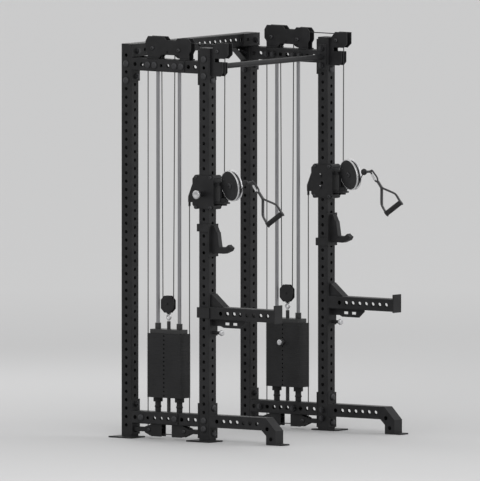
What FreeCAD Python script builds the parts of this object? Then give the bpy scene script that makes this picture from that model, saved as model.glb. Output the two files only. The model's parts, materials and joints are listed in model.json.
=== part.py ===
import FreeCAD, Part
import math
import os
import re

# Cable crossover machine: a four-post steel rack with a weight-stack tower on each side.
# Origin: centre of the four uprights at floor level. +Z up, -Y is the front, +X is the right tower.
# Lengths are millimetres.

doc = FreeCAD.newDocument("cable_crossover_machine")
sheet = doc.addObject("Spreadsheet::Sheet", "sizes")

DRIVING = {
    # frame tubes
    "tube": 76.2, "wall": 3.0, "corner": 6.5, "half_span": 584.2, "half_depth": 296.0,
    "upright_length": 2362.0, "base_thick": 8.0, "cap_thick": 8.0, "hole_pitch": 50.8,
    "side_hole_low": 74.5, "side_hole_count": 45, "front_hole_low": 49.1, "front_hole_count": 46,
    "upright_hole": 21.0, "beam_hole": 25.4, "base_inboard": 35.0, "base_outboard": 99.0,
    "base_half": 88.0, "anchor_hole": 14.0, "anchor_out": 75.0, "anchor_half": 62.0,
    # crossmembers
    "low_centre": 125.3, "top_centre": 2258.9, "flange_thick": 8.0, "flange_high": 212.0,
    "cross_hole_count": 10, "cable_run": 158.0, "slot_wide": 18.0,
    # rear beam and pull-up bar
    "bar_dia": 33.0, "end_plate": 8.0,
    # front feet
    "foot_top": 163.4, "foot_reach": 843.4, "foot_drop": 8.0, "foot_hole_first": 394.7,
    # weight stack
    "rod_dia": 22.0, "rod_half": 81.6, "plate_wide": 100.0, "plate_long": 250.0,
    "plate_thick": 25.4, "plate_pitch": 25.77, "stack_low": 252.0, "plate_total": 15,
    "lifted_total": 5, "stem_dia": 22.0, "pin_dia": 9.5, "top_wide": 82.0, "top_long": 222.0,
    "float_centre": 815.3, "float_radius": 45.0,
    # pulleys
    "rear_pulley": 56.0, "mid_pulley": 51.0, "front_pulley": 45.0, "small_pulley": 28.5,
    "swivel_pulley": 95.0, "axle_dia": 12.0, "cable_dia": 6.0,
    "rear_pulley_y": 106.0, "rear_pulley_z": 2360.0, "mid_pulley_y": -92.3,
    "mid_pulley_z": 2354.0, "front_pulley_y": -388.0, "front_pulley_z": 2360.0,
    "small_pulley_y": 134.0, "small_pulley_z": 52.0, "side_plate": 6.0, "cheek_gap": 18.0,
    # trolley and swivel
    "trolley_low": 1409.0, "trolley_high": 1608.0, "roller_radius": 17.5,
    "roller_rear": -240.0, "roller_front": -352.0, "roller_low": 1421.0, "roller_high": 1594.0,
    "trolley_pin_z": 1496.9, "pin_barrel": 16.5, "pin_knob": 27.0, "swivel_y": -424.0,
    "swivel_z": 1556.5, "swivel_reach": 84.0, "swivel_turn": 18.5, "swivel_cant": 8.0,
    # J-cups and safety arms
    "cup_upper": 1293.7, "cup_lower": 1141.3, "arm_centre": 778.4, "arm_reach": 837.0,
    "arm_pin_z": 658.7,
}
for row, (alias, value) in enumerate(DRIVING.items(), start=1):
    sheet.set("A%d" % row, alias)
    sheet.set("B%d" % row, str(value))
    sheet.setAlias("B%d" % row, alias)
doc.recompute()

size = {alias: float(sheet.get(alias)) for alias in DRIVING}
ALIAS = re.compile(r"\b(" + "|".join(sorted(DRIVING, key=len, reverse=True)) + r")\b")
BOTH = (("left", -1), ("right", 1))
NAME = {-1: "left", 1: "right"}
AXES = {"x": FreeCAD.Vector(1, 0, 0), "y": FreeCAD.Vector(0, 1, 0)}


def bind(obj, prop, formula):
    """Tie one property to a formula over the sheet's aliases."""
    obj.setExpression(prop, ALIAS.sub(r"sizes.\1", str(formula)))


def bind_place(obj, x_at, y_at, z_at):
    for axis, formula in zip("xyz", (x_at, y_at, z_at)):
        bind(obj, "Placement.Base." + axis, formula)


def box(x_span, y_span, z_span):
    """A block between formulas (low, high) on each axis."""
    block = doc.addObject("Part::Box", "block")
    for prop, (low, high) in zip(("Length", "Width", "Height"), (x_span, y_span, z_span)):
        bind(block, prop, "(%s) - (%s)" % (high, low))
    bind_place(block, x_span[0], y_span[0], z_span[0])
    return block


# turns local X to +Y, Y to +Z and Z to +X
CYCLE = FreeCAD.Rotation(FreeCAD.Vector(1, 1, 1), 120)
# turns local X to +Z
UPRIGHT = FreeCAD.Rotation(FreeCAD.Vector(0, 1, 0), -90)
TURN = {
    "x": FreeCAD.Rotation(FreeCAD.Vector(0, 1, 0), 90),
    "y": FreeCAD.Rotation(FreeCAD.Vector(1, 0, 0), -90),
    "z": FreeCAD.Rotation(),
}


def rod(axis, start, end, across, up, radius):
    """A cylinder along one axis, from start to end, at the two other coordinates."""
    bar = doc.addObject("Part::Cylinder", "rod")
    bar.Placement = FreeCAD.Placement(FreeCAD.Vector(), TURN[axis])
    bind(bar, "Radius", radius)
    bind(bar, "Height", "(%s) - (%s)" % (end, start))
    place = {"x": (start, across, up), "y": (across, start, up), "z": (across, up, start)}[axis]
    bind_place(bar, *place)
    return bar


def fuse(label, parts):
    joined = doc.addObject("Part::MultiFuse", "fuse")
    joined.Shapes = parts
    joined.Refine = True
    joined.Label = label
    return joined


def cut(label, base, tools):
    tool = tools[0]
    if len(tools) > 1:
        tool = doc.addObject("Part::Compound", "tools")
        tool.Links = tools
    result = doc.addObject("Part::Cut", "cut")
    result.Base = base
    result.Tool = tool
    result.Label = label
    return result


def group(label, parts):
    """Identical pieces that share one node, each still a solid of its own."""
    bundle = doc.addObject("Part::Compound", "group")
    bundle.Links = parts
    bundle.Label = label
    return bundle


def row_of_holes(axis, start, end, across, first, pitch, count, radius, along="z"):
    """Hole cutters along one axis, repeated at a pitch along another."""
    tools = []
    for index in range(int(count)):
        place = "%s + %d * %s" % (first, index, pitch)
        if along == "z":
            tools.append(rod(axis, start, end, across, place, radius))
        else:
            tools.append(rod(axis, start, end, place, across, radius))
    return tools


def sketch_on(body, plane, place):
    """A sketch in the body, square to one axis, at a place along it."""
    sketch = body.newObject("Sketcher::SketchObject", "sketch")
    role = {"x": "YZ_Plane", "y": "XZ_Plane", "z": "XY_Plane"}[plane]
    sketch.AttachmentSupport = [(datum(body, role), "")]
    sketch.MapMode = "FlatFace"
    # the XZ plane's normal points along -Y, the other two along their axis
    sign = -1 if plane == "y" else 1
    bind(sketch, "AttachmentOffset.Base.z", "%d * (%s)" % (sign, place))
    return sketch


def add_outline(sketch, outline):
    points = [FreeCAD.Vector(across, up, 0) for across, up in outline]
    lines = [Part.LineSegment(points[i - 1], points[i]) for i in range(len(points))]
    sketch.addGeometry(lines, False)


def add_circle(sketch, across, up, radius):
    centre = FreeCAD.Vector(across, up, 0)
    sketch.addGeometry(Part.Circle(centre, FreeCAD.Vector(0, 0, 1), radius), False)


def add_rounded_square(sketch, across, up, half, radius):
    """A square outline with quarter-circle corners."""
    inner = half - radius
    for turn, (right, top) in enumerate(((1, 1), (-1, 1), (-1, -1), (1, -1))):
        centre = FreeCAD.Vector(across + right * inner, up + top * inner, 0)
        circle = Part.Circle(centre, FreeCAD.Vector(0, 0, 1), radius)
        first = turn * math.pi / 2
        sketch.addGeometry(Part.ArcOfCircle(circle, first, first + math.pi / 2), False)
        sides = {0: ((-inner, half), (inner, half)), 1: ((-half, -inner), (-half, inner)),
                 2: ((-inner, -half), (inner, -half)), 3: ((half, -inner), (half, inner))}[turn]
        ends = [FreeCAD.Vector(across + a, up + b, 0) for a, b in sides]
        sketch.addGeometry(Part.LineSegment(*ends), False)


def pad(body, sketch, depth, backward=False):
    feature = body.newObject("PartDesign::Pad", "pad")
    feature.Profile = sketch
    feature.Reversed = backward
    bind(feature, "Length", depth)
    body.Tip = feature


def pocket(body, sketch, depth):
    feature = body.newObject("PartDesign::Pocket", "pocket")
    feature.Profile = sketch
    bind(feature, "Length", depth)
    body.Tip = feature


def new_body(label):
    body = doc.addObject("PartDesign::Body", "body")
    body.Label = label
    return body


def profile_body(label, plane, outline, start, depth, holes=()):
    """A closed outline with round holes, padded from its lower end up the axis."""
    body = new_body(label)
    sketch = sketch_on(body, plane, start)
    add_outline(sketch, outline)
    for across, up, radius in holes:
        add_circle(sketch, across, up, radius)
    pad(body, sketch, depth, backward=(plane == "y"))
    return body


def cheeks(outline, inner, thick, side, holes=()):
    """Two equal plates, one each side of a tower's centre plane."""
    centre = tower_x(side)
    starts = ("%s + (%s)" % (centre, inner), "%s - (%s) - (%s)" % (centre, inner, thick))
    return [profile_body("cheek", "x", outline, start, thick, holes) for start in starts]


def square_tube(plane, across, up, start, length):
    """A hollow square tube along one axis."""
    body = new_body("tube")
    sketch = sketch_on(body, plane, start)
    half, wall, corner = size["tube"] / 2, size["wall"], size["corner"]
    add_rounded_square(sketch, across, up, half, corner)
    add_rounded_square(sketch, across, up, half - wall, corner - wall)
    pad(body, sketch, length, backward=(plane == "y"))
    return body


def datum(body, role):
    return next(item for item in body.Origin.OriginFeatures if item.Role == role)


def tower_x(side, offset="0"):
    """Formula for a place measured outward from a tower's centre plane."""
    return "%d * (half_span + (%s))" % (side, offset)


def span_x(side, inner, outer):
    """Low and high X formulas between two outward offsets."""
    ends = (tower_x(side, inner), tower_x(side, outer))
    return ends if side > 0 else ends[::-1]


def bar_between(start, end, radius):
    """A round bar between two points, given as vectors."""
    bar = doc.addObject("Part::Cylinder", "bar")
    run = end - start
    bar.Placement = FreeCAD.Placement(start, FreeCAD.Rotation(FreeCAD.Vector(0, 0, 1), run))
    bar.Height = run.Length
    bind(bar, "Radius", radius)
    return bar


def wrap(side, y_at, z_at, pitch, first, sweep):
    """A cable's arc round a pulley whose axle runs along X; angles in degrees, 0 along +Y."""
    arc = doc.addObject("Part::Torus", "wrap")
    spin = FreeCAD.Rotation(FreeCAD.Vector(0, 0, 1), first)
    arc.Placement = FreeCAD.Placement(FreeCAD.Vector(), CYCLE * spin)
    bind_place(arc, tower_x(side), y_at, z_at)
    bind(arc, "Radius1", pitch)
    bind(arc, "Radius2", "cable_dia / 2")
    arc.Angle3 = sweep
    return arc


def revolved(label, half_outline, groove_floor=None, pitch=None):
    """A body turned about X from its outline of (along X, radius) points."""
    body = new_body(label)
    sketch = sketch_on(body, "z", "0")
    points = [FreeCAD.Vector(along, out, 0) for along, out in half_outline]
    for start, end in zip(points[-1:] + points[:-1], points):
        in_groove = pitch and abs(start.y - pitch) < 1e-6 and abs(end.y - pitch) < 1e-6
        if in_groove:
            low = FreeCAD.Vector(0, groove_floor, 0)
            sketch.addGeometry(Part.Arc(start, low, end), False)
        else:
            sketch.addGeometry(Part.LineSegment(start, end), False)
    turn = body.newObject("PartDesign::Revolution", "turn")
    turn.Profile = sketch
    turn.ReferenceAxis = (sketch, ["H_Axis"])
    turn.Angle = 360
    body.Tip = turn
    return body


def pulley(label, radius, pitch, half_wide, hub_half, hub_radius, bore, groove=3.5, flare=1.5):
    """A grooved pulley on the X axis: hub, thin web, rim and a round-bottomed groove."""
    web, floor = 4.0, pitch - size["cable_dia"] / 2 - 0.5
    one_side = [(hub_half, bore), (hub_half, hub_radius), (web, hub_radius), (web, pitch - 9),
                (half_wide, pitch - 6), (half_wide, radius), (groove + flare, radius),
                (groove, pitch)]
    other = [(-along, out) for along, out in reversed(one_side)]
    return revolved(label, one_side + other, floor, pitch)


# ---- uprights ----

def upright(label, side, end):
    """A drilled square post on an anchored base plate, under a cap plate."""
    body = new_body(label)
    centre_x, centre_y = side * size["half_span"], end * size["half_depth"]
    half = size["tube"] / 2
    base = sketch_on(body, "z", "0")
    edges = sorted(side * (size["half_span"] + out) for out in
                   (-size["base_inboard"], size["base_outboard"]))
    low, high = centre_y - size["base_half"], centre_y + size["base_half"]
    add_outline(base, [(edges[0], low), (edges[1], low), (edges[1], high), (edges[0], high)])
    for across in (-1, 1):
        add_circle(base, centre_x + side * size["anchor_out"],
                   centre_y + across * size["anchor_half"], size["anchor_hole"] / 2)
    pad(body, base, "base_thick")
    ring = sketch_on(body, "z", "base_thick")
    add_rounded_square(ring, centre_x, centre_y, half, size["corner"])
    add_rounded_square(ring, centre_x, centre_y, half - size["wall"],
                       size["corner"] - size["wall"])
    pad(body, ring, "upright_length")
    cap = sketch_on(body, "z", "base_thick + upright_length")
    add_rounded_square(cap, centre_x, centre_y, half, size["corner"])
    pad(body, cap, "cap_thick")
    side_holes = sketch_on(body, "x", "%s + tube" % tower_x(side))
    for index in range(int(size["side_hole_count"])):
        up = size["side_hole_low"] + index * size["hole_pitch"]
        add_circle(side_holes, centre_y, up, size["upright_hole"] / 2)
    pocket(body, side_holes, "2 * tube")
    front_holes = sketch_on(body, "y", "%d * half_depth - tube" % end)
    for index in range(int(size["front_hole_count"])):
        up = size["front_hole_low"] + index * size["hole_pitch"]
        add_circle(front_holes, centre_x, up, size["upright_hole"] / 2)
    pocket(body, front_holes, "2 * tube")
    return body


nodes = []
for side_name, side in BOTH:
    for end_name, end in (("front", -1), ("rear", 1)):
        nodes.append(upright("%s_%s_upright" % (side_name, end_name), side, end))


# ---- crossmembers, front to rear on each tower ----

INSIDE = "half_depth - tube / 2"


def crossmember(side, centre, extra_cuts):
    """A drilled tube with a bolting flange at each end."""
    half = "(tube / 2)"
    tube = square_tube("y", side * size["half_span"], size[centre], "-(%s) + flange_thick" % INSIDE,
                       "2 * (%s) - 2 * flange_thick" % INSIDE)
    flanges = []
    for low, high in (("-(%s)" % INSIDE, "-(%s) + flange_thick" % INSIDE),
                      (INSIDE + " - flange_thick", INSIDE)):
        flanges.append(box(span_x(side, "-tube / 2", "tube / 2"), (low, high),
                           ("%s - flange_high / 2" % centre, "%s + flange_high / 2" % centre)))
    frame = fuse("crossmember", [tube] + flanges)
    across = ("%s - %s - 1" % (tower_x(side), half), "%s + %s + 1" % (tower_x(side), half))
    tools = row_of_holes("x", across[0], across[1], centre, "-4.5 * hole_pitch", "hole_pitch",
                         size["cross_hole_count"], "beam_hole / 2", along="y")
    for up in ("%s - 1.5 * hole_pitch" % centre, "%s + 1.5 * hole_pitch" % centre):
        tools.append(rod("y", "-half_depth", "half_depth", tower_x(side), up, "upright_hole / 2"))
    return cut("crossmember", frame, tools + extra_cuts)


def cover_plate(side, centre, low, high, half_high):
    """The flat plate bolted along a crossmember's outer face."""
    return box(span_x(side, "tube / 2", "tube / 2 + side_plate"), (low, high),
               ("%s - %s" % (centre, half_high), "%s + %s" % (centre, half_high)))


def cable_slots(side, centre, cables):
    """Slots in a tube's upper and lower walls that let the cable runs pass."""
    return [box(("%s - slot_wide / 2" % tower_x(side), "%s + slot_wide / 2" % tower_x(side)),
                ("%s - 12" % y_at, "%s + 12" % y_at), ("%s - tube" % centre, "%s + tube" % centre))
            for y_at in cables]


lower, upper = [], []
for side_name, side in BOTH:
    plate_low = cover_plate(side, "low_centre", "-100", "190", "32")
    through = span_x(side, "-tube", "tube")
    plate_low = cut("cover", plate_low, row_of_holes(
        "x", *through, "low_centre", "-1.5 * hole_pitch", "hole_pitch", 6, "upright_hole / 2",
        along="y"))
    plate_top = cover_plate(side, "top_centre", "-150", "150", "32")
    plate_top = cut("cover", plate_top, row_of_holes(
        "x", *through, "top_centre", "-2.5 * hole_pitch", "hole_pitch", 6, "upright_hole / 2",
        along="y"))
    lower += [crossmember(side, "low_centre", cable_slots(
        side, "low_centre", ("-cable_run", "cable_run"))), plate_low]
    upper += [crossmember(side, "top_centre", cable_slots(
        side, "top_centre", ("-46", "54", "cable_run"))), plate_top]
nodes.append(group("lower_crossmembers", lower))
nodes.append(group("upper_crossmembers", upper))


# ---- front feet ----

def front_foot(side):
    """A hollow foot that steps down at its toe to a base plate on the floor."""
    top, low, toe = size["foot_top"], 87.2, -size["foot_reach"]
    face = -(size["half_depth"] + size["tube"] / 2 + size["flange_thick"])
    wall = size["wall"]
    outline = [(face, top), (-767, top), (toe, 87), (toe, 8), (-771, 8), (-771, 55),
               (-736, low), (face, low)]
    inner = [(face - wall, top - wall), (-765.5, top - wall), (toe + wall, 85.5),
             (toe + wall, 8 + wall), (-771 - wall, 8 + wall), (-771 - wall, 57),
             (-737.5, low + wall), (face - wall, low + wall)]
    shell = profile_body("shell", "x", outline, "%s - tube / 2" % tower_x(side), "tube")
    hollow = profile_body("hollow", "x", inner, "%s - tube / 2 + wall" % tower_x(side),
                          "tube - 2 * wall")
    across = ("%s - tube" % tower_x(side), "%s + tube" % tower_x(side))
    tools = [hollow] + row_of_holes("x", across[0], across[1], "low_centre",
                                    "-(foot_hole_first)", "-hole_pitch", 7, "beam_hole / 2",
                                    along="y")
    tools += [rod("x", across[0], across[1], y_at, z_at, "beam_hole / 2")
              for y_at, z_at in (("-778", "96"), ("-807", "31 + 5"))]
    tube = cut("tube", shell, tools)
    edge = "-half_depth - tube / 2"
    flange = box(span_x(side, "-tube / 2", "tube / 2"), (edge + " - flange_thick", edge),
                 ("low_centre - flange_high / 2", "low_centre + flange_high / 2"))
    flange = cut("flange", flange, [
        rod("y", "-half_depth - tube", "-half_depth", tower_x(side), up, "upright_hole / 2")
        for up in ("low_centre - 1.5 * hole_pitch", "low_centre + 1.5 * hole_pitch")])
    sole = box(span_x(side, "-tube / 2", "tube / 2"), ("-891", "-771"), ("0", "foot_drop"))
    sole = cut("sole", sole, [rod("z", "-1", "20", tower_x(side), "-870", "anchor_hole / 2")])
    return [fuse("foot", [tube, flange, sole])]


nodes.append(group("front_feet", [piece for _, side in BOTH for piece in front_foot(side)]))


# ---- rear beam, its corner gussets and the pull-up bar ----

BEAM_TOP = "base_thick + upright_length + cap_thick"
INNER = "(half_span - tube / 2)"
BEAM_LOW = "(%s - tube)" % BEAM_TOP


def rear_beam():
    """A drilled tube between the rear uprights, lapped by a bolted plate at each end."""
    up = size["base_thick"] + size["upright_length"] + size["cap_thick"] - size["tube"] / 2
    tube = square_tube("x", size["half_depth"], up, "-" + INNER, "2 * " + INNER)
    tools = row_of_holes("y", "half_depth - tube", "half_depth + tube", "%s - tube / 2" % BEAM_TOP,
                         "-10 * hole_pitch", "hole_pitch", 21, "beam_hole / 2", along="x")
    solids = [cut("beam", tube, tools)]
    face = "half_depth - tube / 2"
    for _, side in BOTH:
        spacer = box(span_x(side, "-tube / 2 - 76", "-tube / 2"),
                     (face + " - flange_thick", face), (BEAM_LOW, BEAM_TOP))
        plate = box(span_x(side, "-tube / 2 - 76", "tube / 2"),
                    (face + " - 2 * flange_thick", face + " - flange_thick"),
                    (BEAM_LOW, BEAM_TOP))
        lap = fuse("lap", [spacer, plate])
        holes = [rod("y", "half_depth - tube", "half_depth", tower_x(side, out), up_at,
                     "upright_hole / 2")
                 for out, up_at in (("-1.5 * hole_pitch", "%s - tube / 2" % BEAM_TOP),
                                    ("0", "%s - tube / 2 - 5" % BEAM_TOP))]
        solids.append(cut("lap", lap, holes))
    return solids


def corner_gusset(side):
    """A triangular web under the beam, stiffened by a strip along its slope."""
    inner = side * (size["half_span"] - size["tube"] / 2)
    top = size["base_thick"] + size["upright_length"] + size["cap_thick"] - size["tube"]
    across, down, lip = 110, 85, 8
    reach = inner - side * across
    web = profile_body("web", "y", [(inner, top), (reach, top), (reach, top - lip),
                                    (inner - side * lip, top - down), (inner, top - down)],
                       "half_depth + 20", "flange_thick",
                       [(inner - side * 30, top - 28, 9)])
    slope = profile_body("slope", "y", [(reach, top - lip), (inner - side * lip, top - down),
                                        (inner - side * lip, top - down - 6),
                                        (reach - side * 6, top - lip)],
                         "half_depth - 22", "50")
    return fuse("gusset", [web, slope])


def pull_up_bar():
    bar = rod("x", "-%s + end_plate" % INNER, "%s - end_plate" % INNER, "-half_depth",
              "top_centre", "bar_dia / 2")
    ends = []
    for _, side in BOTH:
        plate = box(span_x(side, "-tube / 2 - end_plate", "-tube / 2"),
                    ("-half_depth - 32", "-half_depth + 32"),
                    ("top_centre - 1.5 * hole_pitch", "top_centre + 1.5 * hole_pitch"))
        ends.append(cut("end", plate, [
            rod("x", *span_x(side, "-tube", "0"), "-half_depth", up, "upright_hole / 2")
            for up in ("top_centre - hole_pitch", "top_centre + hole_pitch")]))
    return fuse("pull_up_bar", [bar] + ends)


nodes.append(group("rear_top_beam", rear_beam()))
nodes.append(group("corner_gussets", [corner_gusset(side) for _, side in BOTH]))
nodes.append(pull_up_bar())


# ---- pulley housings ----

def top_housing(side):
    """Two arched cheeks over the top crossmember, with both axles and the bolted feet."""
    outline = [(138.6, 2297.2), (138.6, 2330), (159, 2353), (159, 2404), (140, 2432), (22, 2432),
               (3, 2411), (-69.5, 2411), (-84.8, 2427), (-165, 2427), (-184, 2406),
               (-184, 2355), (-170, 2333), (-170, 2297.2), (-105.5, 2297.2), (-90, 2323),
               (39.4, 2323), (58.5, 2297.2)]
    plates = cheeks(outline, "cheek_gap", "side_plate", side)
    feet = []
    for low, high in (("58.5", "138.6"), ("-170", "-105.5")):
        for inner, outer in (("cheek_gap + side_plate", "tube / 2"),
                             ("-tube / 2", "-cheek_gap - side_plate")):
            feet.append(box(span_x(side, inner, outer), (low, high),
                            ("top_centre + tube / 2", "top_centre + tube / 2 + side_plate")))
    ends = span_x(side, "-cheek_gap - side_plate - 6", "cheek_gap + side_plate + 6")
    axles = [rod("x", *ends, y_at, z_at, "axle_dia / 2 - 0.05")
             for y_at, z_at in (("rear_pulley_y", "rear_pulley_z"), ("mid_pulley_y", "mid_pulley_z"))]
    spacer = rod("x", *ends, "0", "2340", "7")
    return fuse("housing", plates + feet + axles + [spacer])


def front_bracket(side):
    """A mount plate on the front upright with two cheeks that carry the front pulley."""
    face = -(size["half_depth"] + size["tube"] / 2 + size["flange_thick"])
    outline = [(face, 2377), (-349.6, 2377), (-380, 2412), (-469, 2412), (-469, 2343),
               (-430, 2308), (-430, 2232), (-411, 2210), (face, 2210)]
    plates = cheeks(outline, "cheek_gap", "side_plate", side)
    ends = span_x(side, "-cheek_gap - side_plate - 6", "cheek_gap + side_plate + 6")
    plates = [cut("cheek", plate, [box(ends, ("-440", "-366"), ("2295", "2318"))])
              for plate in plates]
    edge = "-half_depth - tube / 2"
    mount = box(span_x(side, "-tube / 2", "tube / 2"), (edge + " - flange_thick", edge),
                ("2210", "2377"))
    mount = cut("mount", mount, [rod("y", "-half_depth - tube", "-half_depth", tower_x(side),
                                     "top_centre + 1.5 * hole_pitch", "upright_hole")])
    axle = rod("x", *ends, "front_pulley_y", "front_pulley_z", "axle_dia / 2 - 0.05")
    return fuse("bracket", [mount] + plates + [axle])


def lower_brackets(side):
    """Two cheeks under the lower tube at each end, tied to the upright by a strut."""
    solids = []
    for end in (-1, 1):
        outline = [(end * y_at, z_at) for y_at, z_at in
                   ((40, 87.2), (40, 14), (115, 14), (165, 35), (165, 70), (115, 87.2))]
        plates = cheeks(outline, "cheek_gap", "side_plate", side)
        ends = span_x(side, "-cheek_gap - side_plate - 6", "cheek_gap + side_plate + 6")
        axle = rod("x", *ends, "%d * small_pulley_y" % end, "small_pulley_z",
                   "axle_dia / 2 - 0.05")
        tie = rod("x", *span_x(side, "-cheek_gap", "cheek_gap"), "%d * 60" % end, "66", "8")
        solids.append(fuse("bracket", plates + [axle, tie]))
        reach = size["half_depth"] - size["tube"] / 2 - size["flange_thick"]
        brace = sorted((end * 165.0, end * reach))
        for out in ("-cheek_gap - side_plate / 2", "cheek_gap + side_plate / 2"):
            solids.append(box(span_x(side, out + " - side_plate / 2", out + " + side_plate / 2"),
                              (str(brace[0]), str(brace[1])), ("40", "65")))
    return solids


nodes.append(group("top_pulley_housings", [top_housing(side) for _, side in BOTH]))
nodes.append(group("front_pulley_brackets", [front_bracket(side) for _, side in BOTH]))
nodes.append(group("lower_pulley_brackets",
                   [piece for _, side in BOTH for piece in lower_brackets(side)]))


# ---- guide rods, bumpers and the resting plates ----

STACK_BASE = "low_centre + tube / 2"
PIN_LEVEL = "(stack_low + (plate_total - lifted_total) * plate_pitch + plate_thick / 2)"
ROD_ENDS = ("-rod_half", "rod_half")


def bumper(side, y_at):
    """A rubber spring round a guide rod: wide head, waist with one bulge."""
    half_outline = [(0, 11.3), (0, 18), (24, 18), (32, 22), (40, 18), (61.6, 18), (61.6, 28.5),
                    (88.2, 28.5), (88.2, 11.3)]
    body = revolved("bumper", half_outline)
    body.Placement = FreeCAD.Placement(FreeCAD.Vector(), UPRIGHT)
    bind_place(body, tower_x(side), y_at, STACK_BASE)
    return body


def weight_plate(side, index):
    """One plate of the stack, bored for both guide rods, the selector rod and its pin."""
    low = "stack_low + %d * plate_pitch" % index
    slab = box(span_x(side, "-plate_wide / 2", "plate_wide / 2"),
               ("-plate_long / 2", "plate_long / 2"), (low, low + " + plate_thick"))
    above = low + " + plate_thick + 1"
    tools = [rod("z", low + " - 1", above, tower_x(side), y_at, "rod_dia / 2 + 1")
             for y_at in ROD_ENDS]
    tools.append(rod("z", low + " - 1", above, tower_x(side), "0", "stem_dia / 2 + 1.5"))
    tools.append(rod("x", *span_x(side, "-plate_wide", "stem_dia"), "0",
                     low + " + plate_thick / 2", "pin_dia / 2 + 0.05"))
    return cut("plate", slab, tools)


resting = int(size["plate_total"] - size["lifted_total"])
nodes.append(group("guide_rods", [
    rod("z", STACK_BASE, "top_centre - tube / 2", tower_x(side), y_at, "rod_dia / 2")
    for _, side in BOTH for y_at in ROD_ENDS]))
nodes.append(group("stack_bumpers", [bumper(side, y_at) for _, side in BOTH
                                     for y_at in ROD_ENDS]))
nodes.append(group("resting_plates", [weight_plate(side, index) for _, side in BOTH
                                      for index in range(resting)]))


# ---- moving stack ----

def carriage(side):
    """The top plate with its two guide collars, the selector rod, the stem and the eye."""
    low = "stack_low + plate_total * plate_pitch"
    top = low + " + plate_thick"
    slab = box(span_x(side, "-top_wide / 2", "top_wide / 2"), ("-top_long / 2", "top_long / 2"),
               (low, top))
    collars = [rod("z", top, top + " + 36", tower_x(side), y_at, "18") for y_at in ROD_ENDS]
    stem = rod("z", "%s + 2" % STACK_BASE, "712", tower_x(side), "0", "stem_dia / 2")
    bores = [rod("z", low + " - 1", top + " + 40", tower_x(side), y_at, "rod_dia / 2 + 0.08")
             for y_at in ROD_ENDS]
    bores += [rod("x", *span_x(side, "-stem_dia", "stem_dia"), "0",
                  "stack_low + %d * plate_pitch + plate_thick / 2" % index,
                  "pin_dia / 2 + 0.05") for index in range(int(size["plate_total"]))]
    body = cut("body", fuse("body", [slab, stem] + collars), bores)
    shank = rod("z", "712", "722", tower_x(side), "0", "7")
    eye = doc.addObject("Part::Torus", "eye")
    eye.Radius2 = 6
    eye.Radius1 = 13
    eye.Placement = FreeCAD.Placement(FreeCAD.Vector(), CYCLE)
    bind_place(eye, tower_x(side), "0", "738")
    return [body, fuse("eye_bolt", [shank, eye])]


def floating_housing(side):
    """Two octagonal cheeks round the floating pulley, hung in the cable's loop."""
    centre_y, centre_z = 4.05, size["float_centre"]
    half_y, half_z, chop = 47.5, 51.5, 26
    outline = [(half_y, half_z - chop), (half_y - chop, half_z), (chop - half_y, half_z),
               (-half_y, half_z - chop), (-half_y, chop - half_z), (chop - half_y, -half_z),
               (half_y - chop, -half_z), (half_y, chop - half_z)]
    outline = [(centre_y + across, centre_z + up) for across, up in outline]
    plates = cheeks(outline, "9.5", "3.5", side)
    ends = span_x(side, "-18", "18")
    axle = rod("x", *ends, "4.05", "float_centre", "axle_dia / 2 - 0.05")
    yoke = box(span_x(side, "-11", "11"), ("-8", "8"), ("757.2", "float_centre - 47"))
    loop = wrap(side, "4.05", "float_centre", "40.4", 180, 180)
    return [fuse("housing", plates + [axle, yoke]), loop]


def selector_pin(side):
    """The pin that picks the lifted plates, with a round knob on the inner side."""
    shank = rod("x", *span_x(side, "-plate_wide / 2 - 12", "stem_dia / 2 + 4"), "0", PIN_LEVEL,
                "pin_dia / 2")
    knob = rod("x", *span_x(side, "-plate_wide / 2 - 34", "-plate_wide / 2 - 0.5"), "0",
               PIN_LEVEL, "18")
    return fuse("%s_selector_pin" % NAME[side], [knob, shank])


for side_name, side in BOTH:
    nodes.append(group(side_name + "_stack_carriage", carriage(side)))
    nodes.append(group(side_name + "_lifted_plates", [
        weight_plate(side, index) for index in range(resting, int(size["plate_total"]))]))
    nodes.append(group(side_name + "_floating_housing", floating_housing(side)))
    nodes.append(selector_pin(side))


# ---- pulleys ----

def tower_pulley(name, side, radius, pitch, y_at, z_at, half_wide=10, hub_half=17.5, hub=14):
    """A pulley on the tower's centre plane."""
    body = pulley("%s_%s_pulley" % (NAME[side], name), radius, pitch, half_wide, hub_half, hub,
                  size["axle_dia"] / 2)
    bind_place(body, tower_x(side), y_at, z_at)
    return body


def tower_pulleys(side):
    small = size["small_pulley"]
    return [
        tower_pulley("top_rear", side, size["rear_pulley"], 52, "rear_pulley_y", "rear_pulley_z"),
        tower_pulley("top_middle", side, size["mid_pulley"], 46, "mid_pulley_y", "mid_pulley_z"),
        tower_pulley("front", side, size["front_pulley"], 40, "front_pulley_y",
                     "front_pulley_z"),
        tower_pulley("floating", side, size["float_radius"], 40.4, "4.05", "float_centre", 8, 9),
        tower_pulley("lower_rear", side, small, 24, "small_pulley_y", "small_pulley_z", hub=10),
        tower_pulley("lower_front", side, small, 24, "-small_pulley_y", "small_pulley_z", hub=10),
    ]


for _, side in BOTH:
    nodes += tower_pulleys(side)


# ---- trolley on the front upright ----

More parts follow.
